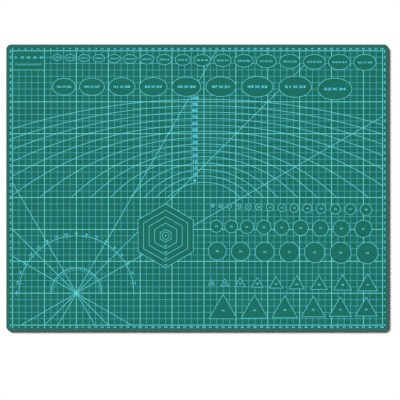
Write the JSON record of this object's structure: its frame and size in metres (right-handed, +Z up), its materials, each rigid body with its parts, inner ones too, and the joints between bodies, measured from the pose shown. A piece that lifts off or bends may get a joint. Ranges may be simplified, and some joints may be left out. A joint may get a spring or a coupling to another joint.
{
  "type": "self-healing cutting mat",
  "caption": "Flat rectangular cutting mat of soft plies on a stiff core, with a printed ruled grid, protractor, radius arcs and shape templates.",
  "frame": {"origin": "middle of the underside, where the mat rests on the table", "axes": "+X along the long side, towards the right of the print; +Y along the short side, towards the top of the print; +Z up, out of the printed face"},
  "size_m": [0.6, 0.45, 0.0031],
  "materials": {
    "top_vinyl": "fine pebbled matt green vinyl, slightly mottled",
    "core_sheet": "stiff extruded sheet, seen only as a line at the edge",
    "bottom_vinyl": "fine pebbled matt green vinyl, plain",
    "grid_ink": "thin screen-printed light cyan ink, satin",
    "template_ink": "thin screen-printed light blue-green ink, satin"
  },
  "bodies": {
    "root": {"bottom_ply": "bottom_vinyl", "core_ply": "core_sheet", "printed_circle_19": "template_ink", "printed_circle_20": "template_ink", "printed_circle_21": "template_ink", "printed_circle_22": "template_ink", "printed_circle_23": "template_ink", "printed_circle_24": "template_ink", "printed_circle_25": "template_ink", "printed_circle_26": "template_ink", "printed_circle_27": "template_ink", "printed_circle_28": "template_ink", "printed_circle_29": "template_ink", "printed_circle_30": "template_ink", "printed_circle_31": "template_ink", "printed_circle_32": "template_ink", "printed_circle_33": "template_ink", "printed_circle_34": "template_ink", "printed_ellipse_36x26": "template_ink", "printed_ellipse_39x27": "template_ink", "printed_ellipse_41x28": "template_ink", "printed_ellipse_43x29": "template_ink", "printed_ellipse_45x30": "template_ink", "printed_ellipse_47x31": "template_ink", "printed_ellipse_49x32": "template_ink", "printed_ellipse_51x33": "template_ink", "printed_ellipse_53x34": "template_ink", "printed_grid": "grid_ink", "printed_hexagon_10": "template_ink", "printed_hexagon_20": "template_ink", "printed_hexagon_30": "template_ink", "printed_hexagon_40": "template_ink", "printed_hexagon_50": "template_ink", "printed_hexagon_6": "template_ink", "printed_triangle_10": "template_ink", "printed_triangle_12": "template_ink", "printed_triangle_16": "template_ink", "printed_triangle_18": "template_ink", "printed_triangle_21": "template_ink", "printed_triangle_24": "template_ink", "printed_triangle_26": "template_ink", "printed_triangle_28": "template_ink", "printed_triangle_31": "template_ink", "printed_triangle_34": "template_ink", "printed_triangle_35": "template_ink", "printed_triangle_37": "template_ink", "printed_triangle_40": "template_ink", "printed_triangle_42": "template_ink", "printed_triangle_44": "template_ink", "top_ply": "top_vinyl"}
  },
  "joints": []
}
